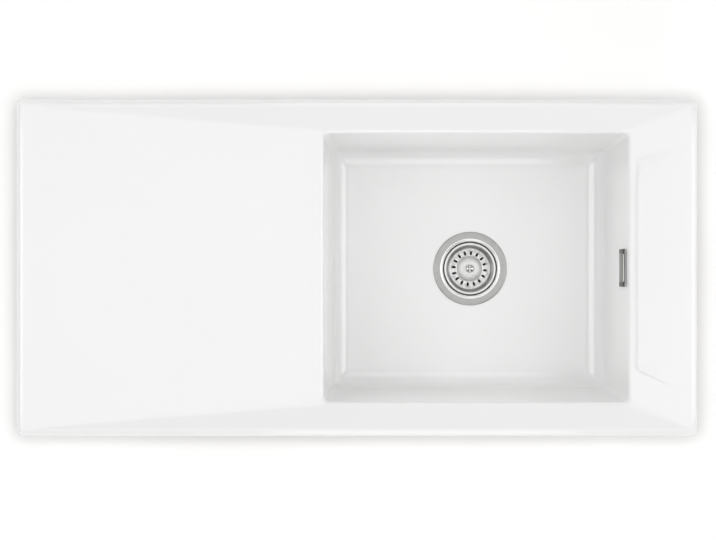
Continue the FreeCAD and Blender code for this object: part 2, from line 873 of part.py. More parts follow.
def pipe_cone(place):
    """A rubber cone round the pipe, half inside the spigot's mouth."""
    room = spigot_gap / 2
    slope = (mouth_radius - pipe_radius - spigot_gap) / mouth_chamfer_depth
    tip_radius = mouth_radius - room - slope * cone_depth
    cone = turned([
        (pipe_radius + running_gap, -cone_depth),
        (tip_radius, -cone_depth),
        (mouth_radius - room, 0),
        (mouth_radius - room, cone_head),
        (pipe_radius + running_gap, cone_head),
    ])
    cone.Placement = place
    return cone


def pipe_nut(place):
    """An eight-sided moulded nut over the spigot's thread, with an end wall that presses on the cone."""
    low = -pipe_nut_reach
    wall = cone_head + running_gap
    nut = sided_bar(pipe_nut_radius, low, wall + pipe_nut_end, pipe_nut_sides)
    thread = rod(spigot_radius + running_gap, low - overrun, wall)
    way = rod(pipe_radius + seat_gap, low, wall + pipe_nut_end + overrun)
    nut = nut.cut([thread, way])
    nut.Placement = place
    return nut


def upper_pipe_cone():
    return pipe_cone(upper_place)


def lower_pipe_cone():
    return pipe_cone(inlet_place)


def upper_pipe_nut():
    return pipe_nut(upper_place)


def lower_pipe_nut():
    return pipe_nut(inlet_place)


nodes = [
    sink_body, rim_seal,
    waste_flange, flange_seal, body_seal, waste_body, outlet_tail, fixing_screw, fixing_nut,
    basket_cup, basket_knob, basket_stem, basket_seal, stem_clip,
    overflow_cover, overflow_insert, insert_seal, overflow_screw, overflow_nut,
    overflow_seal, overflow_housing, overflow_pipe,
    upper_pipe_cone, lower_pipe_cone, upper_pipe_nut, lower_pipe_nut,
]

os.makedirs("parts", exist_ok=True)
for node in nodes:
    shape = node()
    shape.exportStep("parts/" + node.__name__ + ".step")
    box = shape.BoundBox
    print(node.__name__, len(shape.Solids), shape.isValid(), round(shape.Volume),
          [round(v, 1) for v in (box.XMin, box.YMin, box.ZMin, box.XMax, box.YMax, box.ZMax)])
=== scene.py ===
import math

import bmesh
import bpy
from mathutils import Matrix, Vector


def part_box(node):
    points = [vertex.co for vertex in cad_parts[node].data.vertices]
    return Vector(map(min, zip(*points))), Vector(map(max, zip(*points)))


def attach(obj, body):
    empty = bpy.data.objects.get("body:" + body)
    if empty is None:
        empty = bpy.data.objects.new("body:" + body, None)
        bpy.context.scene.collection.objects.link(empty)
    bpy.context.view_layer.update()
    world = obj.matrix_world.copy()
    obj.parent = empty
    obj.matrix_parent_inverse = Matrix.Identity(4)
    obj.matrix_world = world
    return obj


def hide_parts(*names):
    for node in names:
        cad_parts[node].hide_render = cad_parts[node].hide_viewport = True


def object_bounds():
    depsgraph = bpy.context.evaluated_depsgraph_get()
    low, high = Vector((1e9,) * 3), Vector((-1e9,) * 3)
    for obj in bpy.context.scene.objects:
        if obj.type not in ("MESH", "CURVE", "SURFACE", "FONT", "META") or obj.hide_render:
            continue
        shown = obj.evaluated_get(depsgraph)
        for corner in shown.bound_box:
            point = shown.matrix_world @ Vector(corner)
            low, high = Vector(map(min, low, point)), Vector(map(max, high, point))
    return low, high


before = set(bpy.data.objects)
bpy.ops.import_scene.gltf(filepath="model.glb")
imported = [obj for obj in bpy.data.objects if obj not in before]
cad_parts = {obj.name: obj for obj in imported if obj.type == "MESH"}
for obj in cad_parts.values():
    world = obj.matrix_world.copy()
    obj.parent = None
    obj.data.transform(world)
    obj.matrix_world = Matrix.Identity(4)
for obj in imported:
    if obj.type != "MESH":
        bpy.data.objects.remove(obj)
cad_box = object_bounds()

# The sink's body is slip-cast fireclay under a white glaze, bare below the rim and outside the bowl.
# Its deck falls in four slopes from the rim's crest to the bowl, and a level ledge stands up for a tap.
# One skin of rings goes from the rim over the deck, down the bowl, through the waste hole and back below.

body_low, body_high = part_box("sink_body")
flange_low, flange_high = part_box("waste_flange")
waste_x = (flange_low.x + flange_high.x) / 2
rim_top = body_high.z
rim_underside = 0.002
outline_radius, least_radius = 0.008, 0.0005
crest_radius = 0.0095
crest_inset = 0.0105
crest_lead_share = 1.2
deck_fall = 0.009
bowl_right = body_high.x - 0.099
bowl_left = bowl_right - 0.450
bowl_rear = body_high.y - 0.0495
bowl_corner_radius = 0.009
bowl_corner_taper = 0.1
bowl_edge = rim_top - deck_fall
bowl_edge_radius = 0.0065
bowl_draft = math.radians(5.5)
bowl_lean = 0.185
bowl_foot_radius = 0.028
floor_foot = bowl_edge - 0.1735
floor_low = bowl_edge - 0.181
floor_angle = math.radians(6.0)
floor_dish_share, floor_dish_power = 0.57, 4
floor_rings, floor_ring_power = 16, 1.3
wall_thickness = 0.011
outer_foot_radius = 0.032
recess_radius = 0.05652
recess_edge = 0.0005
recess_depth = 0.0025
waste_hole_radius = 0.0455
deck_underside = bowl_edge - 0.013
deck_foot_margin = 0.017
cutout_margin = 0.0165
ledge_inner = body_high.x - 0.0875
ledge_half_length = 0.149
ledge_flare = math.radians(26)
ledge_level = rim_top - 0.0026
ledge_batter = 0.0025
ledge_rear_batter = 0.014
ledge_rear_start_share = 0.35
ledge_softness = 0.002
ledge_corner = 0.012

REAR, LEFT, FRONT, RIGHT = range(4)
corner_steps = 10
side_steps = {REAR: 34, LEFT: 30, FRONT: 34, RIGHT: 16}


def ledge_line(x):
    """How far from the middle the ledge's flared side runs at this distance along the sink."""
    return ledge_half_length + (x - ledge_inner) * math.tan(ledge_flare)


def side_columns(side):
    """Places along one side of a ring, as shares of it at the bowl and at the rim."""
    if side != RIGHT:
        return [(i / side_steps[side],) * 2 for i in range(1, side_steps[side])]
    at_bowl = bowl_rear - bowl_corner_radius
    at_rim = body_high.y - crest_inset
    near = ledge_line(bowl_right) / at_bowl
    far = ledge_line(body_high.x - crest_inset) / at_rim
    spread = [d / 1000 for d in (-9, -6, -4, -2.6, -1.6, -0.8, 0, 0.8, 1.6, 2.6, 4, 6, 9, 14)]
    band = [(near + d / at_bowl, far + d / at_rim) for d in spread]
    plain = [(i / side_steps[RIGHT] * band[0][0], i / side_steps[RIGHT] * band[0][1])
             for i in range(side_steps[RIGHT])]
    half = plain[1:] + band + [((1 + band[-1][0]) / 2, (1 + band[-1][1]) / 2)]
    both = [(-a, -b) for a, b in half[::-1]] + plain[:1] + half
    return [((1 + a) / 2, (1 + b) / 2) for a, b in both]


columns = []
for quarter in range(4):
    for step in range(corner_steps + 1):
        columns.append(("corner", quarter, (step / corner_steps,) * 2))
    for shares in side_columns(quarter):
        columns.append(("side", quarter, shares))


def ring_point(column, left, right, front, rear, radius, at_rim=False):
    """Where a column crosses a rounded rectangle, which starts at its right rear corner."""
    kind, quarter, shares = column
    share = shares[1] if at_rim else shares[0]
    middles = ((right - radius, rear - radius), (left + radius, rear - radius),
               (left + radius, front + radius), (right - radius, front + radius))
    middle = Vector(middles[quarter])
    if kind == "corner":
        turn = math.pi / 2 * (quarter + share)
        return middle + Vector((math.cos(turn), math.sin(turn))) * radius
    turn = math.pi / 2 * (quarter + 1)
    out = Vector((math.cos(turn), math.sin(turn))) * radius
    return (middle + out).lerp(Vector(middles[(quarter + 1) % 4]) + out, share)


def outline_point(column, inset):
    radius = max(outline_radius - inset, least_radius)
    return ring_point(column, body_low.x + inset, body_high.x - inset, body_low.y + inset,
                      body_high.y - inset, radius, at_rim=True)


def bowl_point(column, inset):
    radius = bowl_corner_radius - inset * (1 if inset < 0 else bowl_corner_taper)
    lean = bowl_lean * max(inset, 0)
    return ring_point(column, bowl_left + inset - lean, bowl_right - inset - lean, inset - bowl_rear,
                      bowl_rear - inset, radius)


deck_runs = {REAR: body_high.y - crest_inset - bowl_rear, LEFT: bowl_left - body_low.x - crest_inset,
             FRONT: body_high.y - crest_inset - bowl_rear, RIGHT: body_high.x - crest_inset - bowl_right}


def deck_slope(column):
    """The deck's slope at a column; across a corner it goes over from one side's to the next."""
    kind, quarter, shares = column
    after = math.atan(deck_fall / deck_runs[quarter])
    if kind == "side":
        return after
    before = math.atan(deck_fall / deck_runs[(quarter - 1) % 4])
    share = shares[0]
    return before + (after - before) * share * share * (3 - 2 * share)


def soft_max(a, b, softness):
    blend = min(max(0.5 + 0.5 * (a - b) / softness, 0), 1)
    return b + (a - b) * blend + softness * blend * (1 - blend)


def with_ledge(spot, height):
    """The deck's height with the tap ledge standing up out of it, its edges softened by the glaze."""
    stand = ledge_level - bowl_edge
    inner = ledge_level - (ledge_inner - spot.x) * stand / ledge_batter
    aside = (abs(spot.y) - ledge_line(spot.x)) * math.cos(ledge_flare)
    if spot.y > 0:
        side = ledge_level - (aside / ledge_rear_batter + ledge_rear_start_share) * stand
    else:
        side = ledge_level - aside * stand / ledge_batter
    top = -soft_max(soft_max(-inner, -side, ledge_corner), -ledge_level, ledge_softness)
    return min(soft_max(height, top, ledge_softness), rim_top)


def edge_tangent(column):
    return bowl_edge_radius * math.tan((math.pi / 2 - deck_slope(column) - bowl_draft) / 2)


rings = []
glazed = []


def add_ring(place, glaze=1.0):
    rings.append([place(column) for column in columns])
    glazed.append(glaze)


def raised(spot, height):
    return Vector((spot.x, spot.y, height))


# Rim: from its seat up the outer side and over the crest
seat_edge = 0.0015
add_ring(lambda c: raised(outline_point(c, seat_edge), rim_underside), 0.0)
add_ring(lambda c: raised(outline_point(c, seat_edge / 4), rim_underside + seat_edge / 4), 0.6)
add_ring(lambda c: raised(outline_point(c, 0), rim_underside + seat_edge))
add_ring(lambda c: raised(outline_point(c, 0), rim_top - crest_radius * crest_lead_share))
for step in range(9):
    turn = math.pi / 2 * step / 8
    inset = crest_radius * (1 - math.cos(turn))
    height = rim_top - crest_radius * (1 - math.sin(turn))
    add_ring(lambda c: raised(outline_point(c, inset), height))

# Deck: from the crest to the start of the bowl's rounded edge
fine_share = 0.88
deck_shares = [i / 15 * fine_share for i in range(16)]
deck_shares += [fine_share + i / 18 * (1 - fine_share) for i in range(1, 19)]
for share in deck_shares:
    def deck_place(column):
        outer = outline_point(column, crest_inset)
        tangent = edge_tangent(column)
        slope = deck_slope(column)
        inner = bowl_point(column, -tangent * math.cos(slope))
        spot = outer.lerp(inner, share)
        height = rim_top + (bowl_edge + tangent * math.sin(slope) - rim_top) * share
        return raised(spot, with_ledge(spot, height))
    add_ring(deck_place)

# Bowl: rounded edge, drafted wall, rounded foot
for step in range(1, 11):
    def edge_place(column):
        slope = deck_slope(column)
        tangent = edge_tangent(column)
        lean = slope + (math.pi / 2 - slope - bowl_draft) * step / 10
        inset = -tangent * math.cos(slope) + bowl_edge_radius * (math.sin(lean) - math.sin(slope))
        height = bowl_edge + tangent * math.sin(slope) - bowl_edge_radius * (math.cos(slope) - math.cos(lean))
        return raised(bowl_point(column, inset), height)
    add_ring(edge_place)
foot_end = math.pi / 2 - floor_angle
foot_tangent = bowl_foot_radius * math.tan((foot_end - bowl_draft) / 2)
foot_inset = (bowl_edge - floor_foot) * math.tan(bowl_draft) - foot_tangent * math.sin(bowl_draft)
foot_height = floor_foot + foot_tangent * math.cos(bowl_draft)
for step in range(1, 10):
    def wall_place(column):
        tangent = edge_tangent(column)
        inset = tangent * math.sin(bowl_draft)
        height = bowl_edge - tangent * math.cos(bowl_draft)
        inset += (foot_inset - inset) * step / 10
        height += (foot_height - height) * step / 10
        return raised(bowl_point(column, inset), height)
    add_ring(wall_place)
for step in range(15):
    lean = bowl_draft + (foot_end - bowl_draft) * step / 14
    inset = foot_inset + bowl_foot_radius * (math.cos(bowl_draft) - math.cos(lean))
    height = foot_height - bowl_foot_radius * (math.sin(lean) - math.sin(bowl_draft))
    add_ring(lambda c: raised(bowl_point(c, inset), height))
floor_inset, floor_edge_height = inset, height

# Floor: it falls to the waste, whose flange lies in a shallow recess round the hole
waste_middle = Vector((waste_x, 0))


def round_waste(column, radius):
    """The point of a circle round the waste that lies towards the column's foot."""
    way = bowl_point(column, floor_inset) - waste_middle
    return waste_middle + way.normalized() * radius


land = recess_radius + recess_edge
for step in range(1, floor_rings + 1):
    share = (step / floor_rings) ** floor_ring_power
    left_over = (1 - floor_dish_share) * (1 - share) + floor_dish_share * (1 - share) ** floor_dish_power
    add_ring(lambda c: raised(bowl_point(c, floor_inset).lerp(round_waste(c, land), share),
                              floor_low + (floor_edge_height - floor_low) * left_over))
for step in range(1, 6):
    turn = math.pi / 2 * step / 5
    add_ring(lambda c: raised(round_waste(c, land - recess_edge * math.sin(turn)),
                              floor_low - recess_edge * (1 - math.cos(turn))))
add_ring(lambda c: raised(round_waste(c, recess_radius), floor_low - recess_depth))
add_ring(lambda c: raised(round_waste(c, waste_hole_radius + seat_edge), floor_low - recess_depth))
add_ring(lambda c: raised(round_waste(c, waste_hole_radius), floor_low - recess_depth - seat_edge), 0.4)

# Underneath: from the hole's lower edge out under the floor, up outside the bowl and under the deck
add_ring(lambda c: raised(round_waste(c, waste_hole_radius), body_low.z + seat_edge), 0.0)
add_ring(lambda c: raised(round_waste(c, waste_hole_radius + seat_edge), body_low.z), 0.0)
outer_tangent = outer_foot_radius * math.tan((math.pi / 2 - bowl_draft) / 2)
outer_inset = (bowl_edge - body_low.z) * math.tan(bowl_draft) - outer_tangent * math.sin(bowl_draft)
outer_height = body_low.z + outer_tangent * math.cos(bowl_draft)
for step in range(9, -1, -1):
    lean = bowl_draft + (math.pi / 2 - bowl_draft) * step / 9
    inset = outer_inset + outer_foot_radius * (math.cos(bowl_draft) - math.cos(lean)) - wall_thickness
    height = outer_height - outer_foot_radius * (math.sin(lean) - math.sin(bowl_draft))
    if step == 9:
        for share in (0.3, 0.65):
            add_ring(lambda c: raised(round_waste(c, waste_hole_radius).lerp(bowl_point(c, inset), share),
                                      body_low.z), 0.0)
    add_ring(lambda c: raised(bowl_point(c, inset), height), 0.0)
top_inset = (bowl_edge - deck_underside) * math.tan(bowl_draft) - wall_thickness
for share in (0.25, 0.5, 0.75, 0.92, 1.0):
    add_ring(lambda c: raised(bowl_point(c, inset + (top_inset - inset) * share),
                              height + (deck_underside - height) * share), 0.0)
add_ring(lambda c: raised(bowl_point(c, -deck_foot_margin), deck_underside), 0.0)
for share in (0.05, 0.35, 0.65, 0.95, 1.0):
    add_ring(lambda c: raised(bowl_point(c, -deck_foot_margin).lerp(outline_point(c, cutout_margin), share),
                              deck_underside + (rim_underside - deck_underside) * share), 0.0)


def skin_mesh(name, rings, closed=True):
    """Quads between rings of points, the last ring joined to the first; a closed ring joins its ends."""
    count = len(rings[0])
    faces = []
    for i in range(len(rings)):
        low, high = i * count, (i + 1) % len(rings) * count
        for j in range(count if closed else count - 1):
            k = (j + 1) % count
            faces.append((low + j, low + k, high + k, high + j))
    mesh = bpy.data.meshes.new(name)
    mesh.from_pydata([spot for ring in rings for spot in ring], [], faces)
    mesh.shade_smooth()
    return mesh


def show(name, mesh, *materials):
    """Puts a finished mesh into the scene as a piece, at the origin."""
    piece = bpy.data.objects.new(name, mesh)
    bpy.context.scene.collection.objects.link(piece)
    for material in materials:
        mesh.materials.append(material)
    return piece


def facing_out(mesh):
    """Joins doubled points and turns the faces of a closed mesh outwards."""
    shell = bmesh.new()
    shell.from_mesh(mesh)
    bmesh.ops.remove_doubles(shell, verts=shell.verts, dist=1e-6)
    bmesh.ops.recalc_face_normals(shell, faces=shell.faces)
    shell.to_mesh(mesh)
    shell.free()


ceramic_mesh = skin_mesh("ceramic_sink", rings)
glaze_share = ceramic_mesh.attributes.new("glaze", "FLOAT", "POINT")
glaze_share.data.foreach_set("value", [glaze for glaze in glazed for column in columns])
facing_out(ceramic_mesh)


def new_material(name):
    """An empty material with the helpers that fill it: its shader's sockets, new nodes, ramps and links."""
    material = bpy.data.materials.new(name)
    material.use_nodes = True
    tree = material.node_tree
    link = tree.links.new

    def fill(made, values):
        for key, value in values.items():
            socket = made.inputs.get(key.replace("_", " "))
            if socket is None:
                setattr(made, key, value)
            elif isinstance(value, bpy.types.NodeSocket):
                link(value, socket)
            else:
                socket.default_value = value

    def dress(**values):
        fill(tree.nodes["Principled BSDF"], values)

    def node(kind, **values):
        made = tree.nodes.new("ShaderNode" + kind)
        fill(made, values)
        return made

    def tones(share, dark, light, start=0.0, end=1.0):
        ramp = node("ValToRGB", Fac=share)
        for element, place, colour in zip(ramp.color_ramp.elements, (start, end), (dark, light)):
            element.position = place
            element.color = (*colour, 1)
        return ramp.outputs["Color"]

    return material, dress, node, tones, link


def white_glaze():
    """Glossy white glaze with a faint ripple; where it ends, bare cream fireclay with a sandy face."""
    material, dress, node, tones, link = new_material("white_glaze")
    place = node("TexCoord").outputs["Object"]
    edge = node("Attribute", attribute_name="glaze").outputs["Fac"]
    tone = node("TexNoise", Vector=place, Scale=6.0, Detail=2.0).outputs["Fac"]
    ripple = node("TexNoise", Vector=place, Scale=55.0, Detail=1.0).outputs["Fac"]
    grit = node("TexNoise", Vector=place, Scale=1400.0, Detail=2.0).outputs["Fac"]
    colour = node("Mix", data_type="RGBA", Factor=edge)
    link(tones(grit, (0.60, 0.56, 0.48), (0.74, 0.70, 0.62)), colour.inputs[6])
    link(tones(tone, (0.915, 0.915, 0.912), (0.94, 0.94, 0.937)), colour.inputs[7])
    height = node("Mix", data_type="FLOAT", Factor=edge)
    link(grit, height.inputs[2])
    link(ripple, height.inputs[3])
    finish = node("MapRange", Value=edge, To_Min=0.85, To_Max=0.09)
    bump = node("Bump", Height=height.outputs[0], Strength=0.05, Distance=0.0006)
    dress(Base_Color=colour.outputs[2], Roughness=finish.outputs["Result"], Normal=bump.outputs["Normal"])
    return material


# The overflow's opening through the right wall; its frame has Z into the bowl and Y up the wall
overflow_drop = 0.031
opening_length, opening_height, opening_radius = 0.0465, 0.0165, 0.004
wall_middle = Vector((bowl_right - overflow_drop * math.tan(bowl_draft), 0, bowl_edge - overflow_drop))
wall_frame = Matrix(((0, math.sin(bowl_draft), -math.cos(bowl_draft), wall_middle.x),
                     (-1, 0, 0, 0),
                     (0, math.cos(bowl_draft), math.sin(bowl_draft), wall_middle.z),
                     (0, 0, 0, 1)))


def rounded_block(name, length, height, radius, low, high, edge=0.0, along=0.0):
    """A block with rounded corners in the wall's frame, its end faces' edges eased by a small round."""
    levels = [(low, edge)]
    for step in range(1, 5 if edge else 1):
        turn = math.pi / 2 * step / 4
        levels.append((low + edge * (1 - math.cos(turn)), edge * (1 - math.sin(turn))))
    levels += [(low + high - level, inset) for level, inset in levels[::-1]]
    rings = []
    for level, inset in levels:
        ring = []
        for quarter in range(4):
            for step in range(7):
                turn = math.pi / 2 * (quarter + step / 6)
                side = Vector((1 if quarter in (0, 3) else -1, 1 if quarter < 2 else -1))
                ring.append((along + side.x * (length / 2 - radius) + (radius - inset) * math.cos(turn),
                             side.y * (height / 2 - radius) + (radius - inset) * math.sin(turn), level))
        rings.append([wall_frame @ Vector(spot) for spot in ring])
    shell = bmesh.new()
    loops = [[shell.verts.new(spot) for spot in ring] for ring in rings]
    for lower, upper in zip(loops, loops[1:]):
        for j in range(len(lower)):
            k = (j + 1) % len(lower)
            shell.faces.new((lower[j], lower[k], upper[k], upper[j]))
    shell.faces.new(loops[0][::-1])
    shell.faces.new(loops[-1])
    mesh = bpy.data.meshes.new(name)
    shell.to_mesh(mesh)
    shell.free()
    mesh.shade_smooth()
    mesh.set_sharp_from_angle(angle=math.radians(35))
    return mesh


def baked(piece):
    """The piece's mesh with its modifiers made real and taken off."""
    evaluated = piece.evaluated_get(bpy.context.evaluated_depsgraph_get())
    mesh = bpy.data.meshes.new_from_object(evaluated)
    piece.modifiers.clear()
    piece.data = mesh
    return mesh


def cut_away(piece, *cutters):
    """Cuts closed meshes out of a piece."""
    for cutter in cutters:
        tool = show(cutter.name + "_cutter", cutter)
        cut = piece.modifiers.new("cut", "BOOLEAN")
        cut.operation = "DIFFERENCE"
        cut.solver = "EXACT"
        cut.object = tool
        baked(piece)
        bpy.data.objects.remove(tool)


ceramic_sink = show("ceramic_sink", ceramic_mesh, white_glaze())
wall_room = 0.03
cut_away(ceramic_sink, rounded_block("overflow_opening", opening_length, opening_height, opening_radius,
                                     -wall_room, wall_room))
ceramic_sink.data.set_sharp_from_angle(angle=math.radians(40))
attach(ceramic_sink, "sink")
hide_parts("sink_body")

# The bedding strip: grey closed-cell foam tape, stuck under the rim in four lengths that butt at the corners.
# It is pressed to its working thickness by the sink's weight, and its cut edges are a little rounded.
strip_low, strip_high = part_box("rim_seal")
strip_width = 0.008
strip_round = 0.0007
strip_shell = bmesh.new()
strip_ends = [((strip_low.x, y), (strip_high.x, y + strip_width))
              for y in (strip_low.y, strip_high.y - strip_width)]
strip_ends += [((x, strip_low.y + strip_width), (x + strip_width, strip_high.y - strip_width))
               for x in (strip_low.x, strip_high.x - strip_width)]
for near, far in strip_ends:
    size = Vector((far[0] - near[0], far[1] - near[1], strip_high.z - strip_low.z))
    middle = Vector((near[0], near[1], strip_low.z)) + size / 2
    bmesh.ops.create_cube(strip_shell, matrix=Matrix.Translation(middle) @ Matrix.Diagonal(size.to_4d()))
bmesh.ops.bevel(strip_shell, geom=strip_shell.edges[:], offset=strip_round, segments=3, profile=0.5,
                affect="EDGES")
strip_mesh = bpy.data.meshes.new("foam_strip")
strip_shell.to_mesh(strip_mesh)
strip_shell.free()
strip_mesh.shade_smooth()


def grained(name, dark, light, roughness, metallic=0.0, grain=900.0, depth=0.0002, strength=0.2,
            stretch=(1, 1, 1)):
    """A material whose colour and surface go up and down with a fine grain, which may be drawn out."""
    material, dress, node, tones, _ = new_material(name)
    place = node("TexCoord").outputs["Object"]
    drawn = node("Mapping", Vector=place, Scale=stretch).outputs["Vector"]
    noise = node("TexNoise", Vector=drawn, Scale=grain, Detail=3.0).outputs["Fac"]
    finish = node("MapRange", Value=noise, To_Min=roughness * 0.85, To_Max=min(roughness * 1.15, 1.0))
    bump = node("Bump", Height=noise, Strength=strength, Distance=depth)
    dress(Base_Color=tones(noise, dark, light, 0.3, 0.7), Roughness=finish.outputs["Result"],
          Normal=bump.outputs["Normal"], Metallic=metallic)
    return material


grey_foam = grained("grey_foam", (0.07, 0.07, 0.075), (0.13, 0.13, 0.135), 0.95, grain=1800.0, strength=0.8)
foam_strip = show("foam_strip", strip_mesh, grey_foam)
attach(foam_strip, "sink")
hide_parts("rim_seal")

# The waste's flange: stainless sheet drawn down into a cup and a well, and brushed in circles.
# Its rim lies in the floor's recess, and the hub on three spokes at its foot takes the fixing screw.
flange_radius = 0.0565
flange_top = flange_high.z
flange_sheet = 0.0012
flange_edge = 0.0004
throat_radius = 0.0426
throat_lip = 0.0045
throat_run = 0.004
lip_reach = 0.0485
cup_seat = flange_top - 0.034
cup_foot_radius = 0.039
cup_bend, cup_slack = 0.0025, 0.0002
well_radius, well_foot_radius = 0.023, 0.022
well_round, well_bend = 0.0015, 0.0006
well_foot = cup_seat - 0.014
well_gap_radius = well_foot_radius - flange_sheet
hub_radius, hub_hole_radius = 0.009, 0.0043
spoke_width = 0.006


def bend(middle, radius, start, end, steps=6):
    """Points of an arc in a turned outline, between two angles in degrees."""
    return [(middle[0] + radius * math.cos(math.radians(start + (end - start) * i / steps)),
             middle[1] + radius * math.sin(math.radians(start + (end - start) * i / steps)))
            for i in range(steps + 1)]


def pressed(line, thickness):
    """The closed outline of a pressed sheet whose seen face follows the line."""
    back = []
    for i, (r, z) in enumerate(line):
        before, after = line[max(i - 1, 0)], line[min(i + 1, len(line) - 1)]
        along = Vector((after[0] - before[0], after[1] - before[1])).normalized()
        back.append((r - along.y * thickness, z + along.x * thickness))
    return line + back[::-1]


def turned(name, outline, steps=144, closed=True):
    """A turned mesh from an outline of radii and heights round the waste's axis."""
    rings = [[Vector((waste_x + r * math.cos(turn), r * math.sin(turn), z)) for r, z in outline]
             for turn in (2 * math.pi * i / steps for i in range(steps))]
    mesh = skin_mesh(name, rings, closed)
    facing_out(mesh)
    mesh.set_sharp_from_angle(angle=math.radians(38))
    return mesh


def joined(name, *meshes):
    """One mesh of several closed shells."""
    shell = bmesh.new()
    for mesh in meshes:
        shell.from_mesh(mesh)
    together = bpy.data.meshes.new(name)
    shell.to_mesh(together)
    shell.free()
    together.shade_smooth()
    together.set_sharp_from_angle(angle=math.radians(38))
    return together


flange_line = bend((flange_radius - flange_edge, flange_top - flange_edge), flange_edge, 0, 90, 4)
flange_line += [(throat_radius + throat_lip + throat_run, flange_top)]
flange_line += bend((throat_radius + throat_lip, flange_top - throat_lip), throat_lip, 90, 180, 8)
flange_line += bend((cup_foot_radius + cup_slack - cup_bend, cup_seat + cup_bend), cup_bend, 0, -90)
flange_line += bend((well_radius + well_round, cup_seat - well_round), well_round, 90, 180)
flange_line += bend((well_foot_radius - well_bend, well_foot + well_bend), well_bend, 0, -90, 3)
flange_line += [(well_gap_radius, well_foot)]
flange_cup = turned("flange_cup", pressed(flange_line, -flange_sheet))

spider_edge = []
spoke_half = math.asin(spoke_width / 2 / hub_radius)
for spoke in range(3):
    way = 2 * math.pi * spoke / 3
    along = Vector((math.cos(way), math.sin(way)))
    aside = Vector((-along.y, along.x)) * (spoke_width / 2)
    tip = along * (well_gap_radius + flange_sheet / 3)
    spider_edge += [along * hub_radius * math.cos(spoke_half) - aside, tip - aside, tip + aside]
    for step in range(13):
        turn = way + spoke_half + (2 * math.pi / 3 - 2 * spoke_half) * step / 13
        spider_edge.append(Vector((math.cos(turn), math.sin(turn))) * hub_radius)
hub_edge = [Vector((math.cos(turn), math.sin(turn))) * hub_hole_radius
            for turn in (2 * math.pi * i / 32 for i in range(32))]


def plate(name, level, thickness, *edges):
    """A flat plate round the waste's axis; every edge after the first is a hole in it."""
    sketch = bpy.data.curves.new(name, "CURVE")
    sketch.dimensions = "2D"
    sketch.fill_mode = "BOTH"
    sketch.extrude = thickness / 2
    for edge in edges:
        spline = sketch.splines.new("POLY")
        spline.points.add(len(edge) - 1)
        spline.use_cyclic_u = True
        for point, spot in zip(spline.points, edge):
            point.co = (spot.x, spot.y, 0, 1)
    flat = bpy.data.objects.new(name, sketch)
    mesh = bpy.data.meshes.new_from_object(flat)
    bpy.data.objects.remove(flat)
    mesh.transform(Matrix.Translation((waste_x, 0, level - thickness / 2)))
    facing_out(mesh)
    return mesh


spider = plate("flange_spider", well_foot, flange_sheet, spider_edge, hub_edge)


def ring_brushed(name, dark, light, roughness, patch=90.0, dents=0.0, spread=0.25):
    """Stainless steel brushed in circles round the waste's axis; a drawn sheet is also a little dented."""
    material, dress, node, tones, link = new_material(name)
    place = node("TexCoord").outputs["Object"]
    from_axis = node("Mapping", Vector=place, Location=(-waste_x, 0, 0)).outputs["Vector"]
    flat = node("VectorMath", operation="MULTIPLY", Vector=from_axis)
    flat.inputs[1].default_value = (1, 1, 0)
    radius = node("VectorMath", operation="LENGTH", Vector=flat.outputs["Vector"]).outputs["Value"]
    rings = node("TexNoise", noise_dimensions="1D", W=radius, Scale=2600.0, Detail=3.0).outputs["Fac"]
    cloud = node("TexNoise", Vector=from_axis, Scale=patch, Detail=2.0).outputs["Fac"]
    mix = node("Mix", data_type="FLOAT", Factor=0.35)
    link(rings, mix.inputs[2])
    link(cloud, mix.inputs[3])
    marks = mix.outputs[0]
    finish = node("MapRange", Value=marks, To_Min=roughness * 0.75, To_Max=roughness * 1.25)
    waves = node("Bump", Height=cloud, Strength=dents, Distance=0.0008).outputs["Normal"]
    bump = node("Bump", Height=rings, Normal=waves, Strength=0.12, Distance=0.0001)
    dress(Base_Color=tones(marks, dark, light, 0.5 - spread, 0.5 + spread),
          Roughness=finish.outputs["Result"], Normal=bump.outputs["Normal"], Metallic=1.0)
    return material


brushed_flange = ring_brushed("brushed_flange", (0.38, 0.38, 0.37), (0.50, 0.50, 0.49), 0.36)
# The lip's much lighter steel is a painted highlight: the bright ring that its rounding shows under the
# lights.
painted_highlight_lip = ring_brushed("painted_highlight_lip", (0.90, 0.90, 0.89), (0.97, 0.97, 0.96), 0.42)
strainer_flange = show("strainer_flange", joined("strainer_flange", flange_cup, spider), brushed_flange,
                       painted_highlight_lip)
# Faces of the throat's rounded lip take the painted highlight; the rest of the sheet keeps the brushed steel.
for face in strainer_flange.data.polygons:
    reach = math.hypot(face.center.x - waste_x, face.center.y)
    if reach < lip_reach and face.center.z > flange_top - throat_lip / 2:
        face.material_index = 1
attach(strainer_flange, "sink")
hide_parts("waste_flange")

# The strainer basket: thin stainless sheet, drawn to a cup with a rolled lip and a dome, then pierced.
# One sector with its slot is repeated round the axis, so the sixteen slots are one pattern.
basket_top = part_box("basket_cup")[1].z
basket_sheet = 0.0009
basket_mouth_radius, basket_lip_radius = 0.0369, 0.0404
basket_floor = basket_top - 0.020
basket_floor_radius = 0.033
basket_bend = 0.003
dome_radius, dome_flat_radius, dome_height = 0.0205, 0.007, 0.0055
dome_foot = basket_floor + 0.0008
dome_top = dome_foot + dome_height
stem_hole_radius = 0.0031
slot_count = 16
slot_half_width = 0.0017
slot_inner, slot_outer = 0.0216, 0.0286
slot_turn = math.radians(84)

